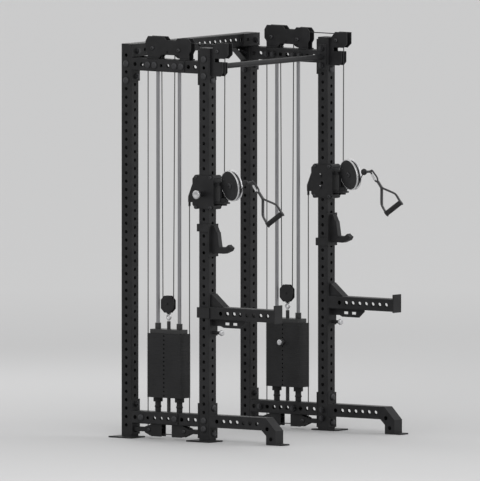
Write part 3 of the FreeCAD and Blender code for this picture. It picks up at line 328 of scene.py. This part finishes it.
# ---------------------------------------------------------------- mesh makers

def mesh_object(name, points, faces, material, smooth=True, slot="powder_black"):
    mesh = bpy.data.meshes.new(name)
    mesh.from_pydata([tuple(p) for p in points], [], faces)
    mesh.update()
    if smooth:
        mesh.polygons.foreach_set("use_smooth", [True] * len(mesh.polygons))
        mesh.set_sharp_from_angle(angle=math.radians(38))
    obj = bpy.data.objects.new(name, mesh)
    bpy.context.scene.collection.objects.link(obj)
    paint(obj, material)
    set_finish(obj, slot)
    return obj


def square_to(axis):
    """Two directions square to an axis and to each other."""
    axis = Vector(axis).normalized()
    hint = Vector((1, 0, 0)) if abs(axis.x) < 0.8 else Vector((0, 1, 0))
    first = axis.cross(hint).normalized()
    return first, axis.cross(first)


def lathe(origin, axis, profile, sides=40, flutes=0, depth=0.0):
    """Points and faces turned from (along, radius) pairs; flutes cut grooves in the widest ring."""
    axis = Vector(axis).normalized()
    first, second = square_to(axis)
    widest = max(radius for _, radius in profile)
    points, faces = [], []
    for along, radius in profile:
        for step in range(sides):
            angle = math.tau * step / sides
            reach = radius
            if flutes and radius > widest * 0.9:
                reach -= depth * (0.5 + 0.5 * math.cos(flutes * angle))
            points.append(Vector(origin) + axis * along
                          + (first * math.cos(angle) + second * math.sin(angle)) * reach)
    for ring in range(len(profile) - 1):
        for step in range(sides):
            a, b = ring * sides + step, ring * sides + (step + 1) % sides
            faces.append((a, b, b + sides, a + sides))
    faces.append(tuple(reversed(range(sides))))
    faces.append(tuple(range((len(profile) - 1) * sides, len(profile) * sides)))
    return points, faces


def turned_ring(centre, axis, section, sides):
    """A closed section of (along, radius) pairs turned right round an axis."""
    first, second = square_to(axis)
    points, faces, wide = [], [], len(section)
    for step in range(sides):
        angle = math.tau * step / sides
        reach = first * math.cos(angle) + second * math.sin(angle)
        points += [centre + Vector(axis) * along + reach * radius for along, radius in section]
    for step in range(sides):
        here, there = step * wide, (step + 1) % sides * wide
        for index in range(wide):
            onward = (index + 1) % wide
            faces.append((here + index, here + onward, there + onward, there + index))
    return points, faces


def joined(parts):
    """One list of points and faces from several."""
    points, faces = [], []
    for more, sides in parts:
        start = len(points)
        points += more
        faces += [tuple(start + index for index in face) for face in sides]
    return points, faces


def smooth_path(points, per_run=8, closed=False):
    """A rounded line through given points."""
    line, count = [], len(points)
    runs = count if closed else count - 1
    for run in range(runs):
        if closed:
            around = [points[(run + step) % count] for step in (-1, 0, 1, 2)]
        else:
            around = [points[max(0, min(count - 1, run + step))] for step in (-1, 0, 1, 2)]
        for step in range(per_run):
            t = step / per_run
            line.append(0.5 * (2 * around[1] + (around[2] - around[0]) * t
                               + (2 * around[0] - 5 * around[1] + 4 * around[2] - around[3]) * t * t
                               + (3 * around[1] - around[0] - 3 * around[2] + around[3]) * t ** 3))
    if not closed:
        line.append(points[-1].copy())
    return line


def swept(line, section, across, closed=False):
    """A section of (sideways, outward) pairs carried along a line; across points sideways."""
    points, faces, count, wide = [], [], len(line), len(section)
    for index, point in enumerate(line):
        if closed:
            run = (line[(index + 1) % count] - line[index - 1]).normalized()
        else:
            run = (line[min(index + 1, count - 1)] - line[max(index - 1, 0)]).normalized()
        side = (across - run * across.dot(run)).normalized()
        out = run.cross(side)
        points += [point + side * a + out * b for a, b in section]
    for index in range(count if closed else count - 1):
        for step in range(wide):
            a, b = index * wide + step, index * wide + (step + 1) % wide
            c = (index + 1) % count * wide
            faces.append((a, b, c + (step + 1) % wide, c + step))
    if not closed:
        faces.append(tuple(reversed(range(wide))))
        faces.append(tuple(range((count - 1) * wide, count * wide)))
    return points, faces


def straight(start, end):
    """Even points along a cable's straight run."""
    return [start.lerp(end, step / ROPE_STEPS) for step in range(ROPE_STEPS + 1)]


def round_section(radius, sides=14):
    return [(radius * math.cos(math.tau * i / sides), radius * math.sin(math.tau * i / sides))
            for i in range(sides)]


def strap_section(wide, thick):
    """A flat strap's section with rounded edges."""
    half, edge = wide / 2 - thick / 2, thick / 2
    section = []
    for centre, start in ((half, -90), (-half, 90)):
        for step in range(5):
            angle = math.radians(start + 45 * step)
            section.append((centre + edge * math.cos(angle), edge * math.sin(angle)))
    return section


# ---------------------------------------------------------------- cables

FLANGE_OVER_PITCH = 0.0046  # how far the floating pulley's flange stands past its cable


def moving_cables(side):
    """The cable runs that lengthen or shorten, each drawn as a straight tube from one end to the
    other.
    """
    def run(name, start, end, body):
        points, faces = swept(straight(start, end), round_section(CABLE_RADIUS),
                              Vector((1, 0, 0)))
        cable = mesh_object(name, points, faces, ROPE, slot="cable_black")
        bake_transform(cable)
        return cable

    x_at = JOINTS[side + "_swivel_turn"]["pos_m"][0]
    low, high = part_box(side + "_front_cable")
    wheel = JOINTS[side + "_front_spin"]["pos_m"]
    swivel = JOINTS[side + "_swivel_turn"]["pos_m"]
    top = Vector((x_at, low.y + CABLE_RADIUS, wheel[2]))
    end = Vector((x_at, swivel[1], low.z))
    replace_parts(run(side + "_front_rope", top, end, side + "_trolley"), side + "_front_cable")

    low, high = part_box(side + "_low_cable")
    y_at = (low.y + high.y) / 2
    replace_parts(run(side + "_low_rope", Vector((x_at, y_at, low.z)), Vector((x_at, y_at, high.z)),
                    side + "_trolley"), side + "_low_cable")

    low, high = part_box(side + "_stack_cable")
    wheel_low, wheel_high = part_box(side + "_floating_pulley")
    centre = JOINTS[side + "_floating_spin"]["pos_m"]
    pitch = (wheel_high.y - wheel_low.y) / 2 - FLANGE_OVER_PITCH
    for name, top_y, low_y, wheel in (
            ("front", low.y + CABLE_RADIUS, centre[1] - pitch, "top_middle"),
            ("rear", high.y - CABLE_RADIUS, centre[1] + pitch, "top_rear")):
        start = Vector((x_at, top_y, JOINTS["%s_%s_spin" % (side, wheel)]["pos_m"][2]))
        end = Vector((x_at, low_y, low.z))
        rope = run("%s_stack_rope_%s" % (side, name), start, end, side + "_stack")
        if name == "front":
            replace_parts(rope, side + "_stack_cable")


# ---------------------------------------------------------------- handles

# Places on a handle, as (ahead, sideways, up) from its swivel pulley's centre.
BALL_AT, BALL_RADIUS = (0.149, -0.005, 0.024), 0.019
TAIL_END, HOOK_END = (0.222, 0, 0.031), (0.316, 0, -0.046)
STRAP_APEX, GRIP_MIDDLE, GRIP_HALF = (0.334, 0, -0.060), (0.463, 0, -0.175), (0.031, 0.030, 0.034)
STRAP_ELBOWS = (("upper", (0.455, 0.020, -0.091), 1), ("lower", (0.364, -0.020, -0.162), -1))


def handle_space(side):
    """Matrix from (ahead, sideways, up) about the swivel pulley's centre."""
    ahead = Vector(JOINTS[side + "_handle_pull"]["axis"]).normalized()
    sideways = UP.cross(ahead)
    centre = Vector(JOINTS[side + "_swivel_spin"]["pos_m"])
    turn = Matrix((ahead, sideways, UP)).transposed().to_4x4()
    return Matrix.Translation(centre) @ turn


def handle(side):
    """Ball stop, crimped cable tail, snap hook, webbing triangle and a ribbed grip."""
    space = handle_space(side)

    def at(ahead, sideways, up):
        return space @ Vector((ahead, sideways, up))

    def keep(name, made, material, slot):
        piece = mesh_object("%s_%s" % (side, name), *made, material, slot=slot)
        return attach(piece, side + "_handle")

    ball, tail_end, hook_end = at(*BALL_AT), at(*TAIL_END), at(*HOOK_END)
    apex, middle = at(*STRAP_APEX), at(*GRIP_MIDDLE)
    half = at(*GRIP_HALF) - at(0, 0, 0)

    # ball with a moulded seam, bored for the cable
    axis = (tail_end - ball).normalized()
    turns = [math.pi * step / 24 for step in range(25)]
    profile = [(-BALL_RADIUS * math.cos(turn), 0.0005 + BALL_RADIUS * math.sin(turn))
               for turn in turns]
    seam = BALL_RADIUS + 0.0008
    profile += [(-0.0006, seam), (0.0006, seam)]
    stop = keep("ball_stop", lathe(ball, axis, sorted(profile)), RUBBER, "rubber_black")
    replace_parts(stop, side + "_handle")

    # the cable paid out from the pulley to the ball, then its crimp sleeve
    leave = handle_cable_start(side)
    made = swept(straight(leave, ball), round_section(CABLE_RADIUS), UP)
    rope = mesh_object(side + "_handle_rope", *made, ROPE, slot="cable_black")
    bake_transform(rope)
    long = (tail_end - ball).length
    sleeve = [(0.016, 0.005), (0.020, 0.0075), (0.036, 0.0078), (0.038, 0.0062), (0.044, 0.0062),
              (0.046, 0.0078), (long - 0.01, 0.0078), (long, 0.005)]
    keep("crimp_sleeve", lathe(ball, axis, sleeve, 24), BOLT, "zinc_black")

    # snap hook: a bent oval ring with a sprung gate on one side
    run = (hook_end - tail_end).normalized()
    out = space.to_3x3() @ Vector((0, 1, 0))
    side_way = run.cross(out).normalized()
    start = tail_end - run * 0.004
    oval = [(0.0, -0.006), (0.0, 0.006), (0.012, 0.011), (0.038, 0.0125), (0.066, 0.014),
            (0.083, 0.010), (0.089, 0.0), (0.083, -0.010), (0.066, -0.014), (0.038, -0.0115),
            (0.012, -0.009)]
    loop = smooth_path([start + run * a + side_way * b for a, b in oval], 5, closed=True)
    keep("snap_hook", swept(loop, round_section(0.0052), out, closed=True), BOLT, "zinc_black")
    gate_low = start + run * 0.02 - side_way * 0.0095
    gate_high = start + run * 0.07 - side_way * 0.0135
    gate = [(0, 0.0058), (0.003, 0.0064), (0.044, 0.0064), (0.05, 0.0056)]
    keep("hook_gate", lathe(gate_low, gate_high - gate_low, gate, 20), SILVER, "silver")

    # webbing triangle with a sewn top and a bend at each side
    across = (middle - apex).cross(half).normalized()
    for name, elbow_at, sign in STRAP_ELBOWS:
        elbow, grip_end = at(*elbow_at), middle + half * (sign * 1.02)
        line = smooth_path([apex - run * 0.012, apex.lerp(elbow, 0.12), apex.lerp(elbow, 0.86),
                            elbow.lerp(grip_end, 0.16), elbow.lerp(grip_end, 0.8), grip_end], 10)
        keep("strap_" + name, swept(line, strap_section(0.025, 0.011), across), WEBBING, "webbing")
    fold = [apex - run * 0.056, apex - run * 0.04, apex - run * 0.015, apex + run * 0.006]
    keep("strap_keeper", swept(smooth_path(fold, 6), strap_section(0.027, 0.016), across), WEBBING,
         "webbing")

    # ribbed grip between two end collars
    total, ribs, valley, crest, end_radius = half.length * 2, 15, 0.0148, 0.0162, 0.0135
    plain, ribbed = 0.04, 0.92  # shares of the grip: each plain end, and the ribs between
    grip = [(0, end_radius)]
    for rib in range(ribs):
        begin = total * (plain + ribbed * rib / ribs)
        wide = total * ribbed / ribs
        grip += [(begin, valley), (begin + wide * 0.25, crest), (begin + wide * 0.75, crest),
                 (begin + wide * 0.99, valley)]
    grip.append((total, end_radius))
    keep("grip", lathe(middle - half, half, grip, 36), RUBBER, "rubber_black")
    for name, sign in (("upper", 1), ("lower", -1)):
        end = middle + half * sign
        cap = [(-0.002, 0.017), (0.0, 0.0195), (0.0045, 0.0195), (0.0065, 0.017), (0.007, 0.009)]
        keep("grip_cap_" + name, lathe(end, half * sign, cap, 36), PLASTIC, "rubber_black")


SWIVEL_PITCH = 0.084   # radius of the cable's line on the swivel pulley
CABLE_LEAVES_AT = 47   # degrees round from straight ahead, towards its underside


def handle_cable_start(side):
    """Where the cable leaves the swivel pulley's underside."""
    spin = JOINTS[side + "_swivel_spin"]
    centre, axle = Vector(spin["pos_m"]), Vector(spin["axis"]).normalized()
    ahead = Vector(JOINTS[side + "_handle_pull"]["axis"]).normalized()
    standing = ahead.cross(axle).normalized()
    pitch, angle = SWIVEL_PITCH, math.radians(CABLE_LEAVES_AT)
    return centre + ahead * (pitch * math.cos(angle)) - standing * (pitch * math.sin(angle))


# ---------------------------------------------------------------- knobs and bolt heads

def pull_knob(name, node, body, direction, shank, knob_radius, knob_long, flutes):
    """A fluted pull knob on its plain pin, in place of a CAD pin."""
    low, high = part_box(node)
    middle, direction = (low + high) / 2, Vector(direction)
    span = abs((high - low).dot(direction))
    start = middle - direction * (span / 2)
    neck = span - knob_long
    profile = [(0.0, shank * 0.8), (0.002, shank), (neck - 0.006, shank), (neck, shank * 1.25),
               (neck, knob_radius * 0.8), (neck + 0.0015, knob_radius * 0.96),
               (neck + 0.003, knob_radius), (span - 0.003, knob_radius),
               (span - 0.001, knob_radius * 0.95), (span, knob_radius * 0.82),
               (span, knob_radius * 0.4), (span - 0.0012, knob_radius * 0.34)]
    piece = mesh_object(name, *lathe(start, direction, profile, 96, flutes, knob_radius * 0.06),
                        SILVER, slot="silver")
    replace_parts(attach(piece, body), node)


def dome(centre, axis, radius, height):
    """A low domed head with a round recess, standing on a face."""
    profile = [(0, radius), (height * 0.45, radius), (height * 0.72, radius * 0.9),
               (height * 0.92, radius * 0.68), (height, radius * 0.48), (height, radius * 0.34),
               (height * 0.4, radius * 0.32)]
    return lathe(centre, axis, profile, 36)


def knobs():
    """A fluted knob on every pull pin: shank radius, knob radius, knob length and flutes."""
    for side, sign in OUTWARD:
        for name, node, body, direction, sizes in (
                ("trolley_knob", "trolley_pin", "trolley_pin", (sign, 0, 0),
                 (0.010, 0.027, 0.018, 16)),
                ("stack_knob", "selector_pin", "selector", (-sign, 0, 0),
                 (0.00475, 0.018, 0.034, 12)),
                ("arm_knob", "arm_pin", "arm_pin", (0, -1, 0), (0.006, 0.018, 0.0155, 12))):
            pull_knob("%s_%s" % (side, name), "%s_%s" % (side, node), "%s_%s" % (side, body),
                      direction, *sizes)


CHEEK_OUT = 0.024      # outer face of a pulley bracket's cheek, from the tower's middle
PLATE_OUT = 0.046      # outer face of a trolley plate, from the tower's middle
ROLLER_PLACES = (-0.240, -0.352)  # Y of the trolley's rear and front rollers
COVER_OUT = 0.018      # outer face of the swivel pulley's cheeks, along its axle
COVER_SCREWS = (0.07, 30)  # radius of the cover's three screws and the first one's angle


def wheel_axle_heads(side, x_at):
    heads = []
    for wheel in ("top_rear", "top_middle", "front", "lower_rear", "lower_front"):
        centre = JOINTS["%s_%s_spin" % (side, wheel)]["pos_m"]
        for sign in (-1, 1):
            spot = Vector((x_at + sign * CHEEK_OUT, centre[1], centre[2]))
            heads.append(dome(spot, (sign, 0, 0), 0.0125, 0.0085))
    return heads


def roller_heads(side, x_at):
    low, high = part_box(side + "_trolley_body")
    heads = []
    for y_at in ROLLER_PLACES:
        for z_at in (low.z + 0.012, high.z - 0.014):
            for sign in (-1, 1):
                spot = Vector((x_at + sign * PLATE_OUT, y_at, z_at))
                heads.append(dome(spot, (sign, 0, 0), 0.0115, 0.0065))
    return heads


def swivel_heads(side):
    """The swivel pulley's axle ends, and three small screws in its cover."""
    spin = JOINTS[side + "_swivel_spin"]
    centre, axle = Vector(spin["pos_m"]), Vector(spin["axis"]).normalized()
    ahead = Vector(JOINTS[side + "_handle_pull"]["axis"])
    standing = ahead.cross(axle).normalized()
    heads = [dome(centre - axle * COVER_OUT, -axle, 0.017, 0.006),
             dome(centre + axle * COVER_OUT, axle, 0.014, 0.006)]
    radius, first = COVER_SCREWS
    for step in range(3):
        angle = math.radians(first + 120 * step)
        spot = centre + (ahead * math.cos(angle) + standing * math.sin(angle)) * radius
        heads.append(dome(spot - axle * COVER_OUT, -axle, 0.006, 0.003))
    return heads


def axle_heads():
    """Domed heads on the ends of every pulley axle and trolley roller."""
    for side in SIDES:
        x_at = JOINTS[side + "_swivel_turn"]["pos_m"][0]
        for name, heads, body in (
                ("axle_heads", wheel_axle_heads(side, x_at), "frame"),
                ("roller_heads", roller_heads(side, x_at), side + "_trolley"),
                ("swivel_heads", swivel_heads(side), side + "_swivel")):
            piece = mesh_object("%s_%s" % (side, name), *joined(heads), BOLT, slot="zinc_black")
            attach(piece, body)


def rim_bezels():
    """A bright ring round each swivel pulley's cover."""
    for side in SIDES:
        spin = JOINTS[side + "_swivel_spin"]
        centre, axle = Vector(spin["pos_m"]), Vector(spin["axis"]).normalized()
        face, back = 0.0188, 0.0140
        inner, outer, edge = 0.0885, 0.0942, 0.0008
        section = [(-face, inner + edge), (-face, outer - edge), (-face + edge, outer),
                   (-back - edge, outer), (-back, outer - edge), (-back, inner + 0.0037)]
        points, faces = turned_ring(centre, axle, section, 96)
        ring = mesh_object(side + "_pulley_bezel", points, faces, CHROME, slot="silver")
        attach(ring, side + "_swivel")


PLATE_TOTAL = 15  # plates in a stack below its top plate


def outward_hole_shades():
    """A near-black disc on each plate's outward face, in line with its selector hole: painted shade
    for the hole's mouth.
    """
    # each disc is the selector hole's size, painted near-black as the hole's shade
    hole_shade_disc = [(-0.001, 0.0052), (0.0003, 0.0052), (0.0006, 0.0046), (0.0006, 0.0012)]
    for side, sign in OUTWARD:
        lifted_low, lifted_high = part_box(side + "_lifted_plates")
        rest_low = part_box("resting_plates")[0]
        face = lifted_low.x if sign < 0 else lifted_high.x
        pitch = (lifted_high.z - rest_low.z) / PLATE_TOTAL
        for name, body, low, high in (("resting", "frame", rest_low.z, lifted_low.z),
                                      ("lifted", side + "_stack", lifted_low.z, lifted_high.z)):
            count = round((high - low) / pitch)
            row = [lathe((face, 0, low + pitch * (index + 0.5)), (sign, 0, 0), hole_shade_disc, 20)
                   for index in range(count)]
            piece = mesh_object("%s_%s_hole_shades" % (side, name), *joined(row), HOLE_SHADE,
                                slot="rubber_black")
            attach(piece, body)


def plate_screws():
    """Two bright screws on the middle of each trolley's inner plate."""
    for side, sign in (("left", 1), ("right", -1)):
        x_at = JOINTS[side + "_swivel_turn"]["pos_m"][0]
        low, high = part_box(side + "_trolley_body")
        middle = (low.z + high.z) / 2 + 0.004
        heads = [dome(Vector((x_at + sign * PLATE_OUT, -0.285, middle + step)), (sign, 0, 0),
                      0.0065, 0.004) for step in (-0.0355, 0.0355)]
        piece = mesh_object(side + "_plate_screws", *joined(heads), SILVER, slot="silver")
        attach(piece, side + "_trolley")


# ---------------------------------------------------------------- stage

def floor():
    """A wide pale floor, with painted shade that darkens it near the machine."""
    reach, rings, sides, painted_shade_reach = 70.0, 24, 96, 12.0
    points, faces = lathe((0, 0, -0.001), (0, 0, 1),
                          [(0.0, reach * ((i + 1) / rings) ** 2) for i in range(rings)], sides)
    faces = faces[:-1]
    n = Nodes("studio_floor", (0.6, 0.6, 0.6), 0.85)
    length = n.node("ShaderNodeVectorMath", operation="LENGTH")
    n.link(n.place, length.inputs[0])
    painted_shade_falloff = n.math("DIVIDE", length.outputs["Value"], painted_shade_reach)
    # painted shade: the floor's colour is darker near the machine and paler away from it
    n.color_from(n.ramp(painted_shade_falloff, 0.0, 1.0, (0.50, 0.50, 0.503), (0.66, 0.66, 0.662)))
    n.shader.inputs["Specular IOR Level"].default_value = 0.2
    ground = mesh_object("floor", points, faces, n.material, smooth=False)
    del ground["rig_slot"]


def area_light(name, place, aim, size, power):
    light = bpy.data.lights.new(name, "AREA")
    light.shape, light.size, light.energy = "DISK", size, power
    obj = bpy.data.objects.new(name, light)
    obj.location = place
    obj.rotation_euler = (Vector(aim) - Vector(place)).to_track_quat("-Z", "Y").to_euler()
    bpy.context.scene.collection.objects.link(obj)


def studio():
    world = bpy.data.worlds.new("studio")
    world.use_nodes = True
    sky = world.node_tree.nodes["Background"]
    sky.inputs["Color"].default_value = (1, 1, 1, 1)
    sky.inputs["Strength"].default_value = 0.88
    bpy.context.scene.world = world
    area_light("key", (-4.5, -3.5, 5.0), (0, 0, 1.2), 3.0, 110)
    area_light("fill", (3.0, -5.0, 2.5), (0, 0, 1.2), 4.0, 40)
    area_light("back", (2.5, 4.5, 4.0), (0, 0, 1.4), 3.0, 60)


def camera():
    """A parallel view along the photograph's direction, aimed at the middle of its frame."""
    azimuth, elevation = math.radians(-52.2), math.radians(4.17)
    frame_wide, aim_right, aim_up, distance = 2.8995, 0.07092, 1.16354, 8
    data = bpy.data.cameras.new("camera")
    data.type, data.ortho_scale = "ORTHO", frame_wide
    data.clip_start, data.clip_end = 0.1, 200
    obj = bpy.data.objects.new("camera", data)
    back = Vector((math.sin(azimuth) * math.cos(elevation),
                   -math.cos(azimuth) * math.cos(elevation), math.sin(elevation)))
    right = UP.cross(back).normalized()
    top = back.cross(right)
    obj.location = right * aim_right + top * aim_up + back * distance
    obj.rotation_euler = (-back).to_track_quat("-Z", "Y").to_euler()
    bpy.context.scene.collection.objects.link(obj)
    bpy.context.scene.camera = obj


camera()
studio()
floor()
paint_frame()
for each_side in SIDES:
    moving_cables(each_side)
    handle(each_side)
knobs()
axle_heads()
rim_bezels()
outward_hole_shades()
plate_screws()
bpy.context.scene.view_settings.view_transform = "Standard"
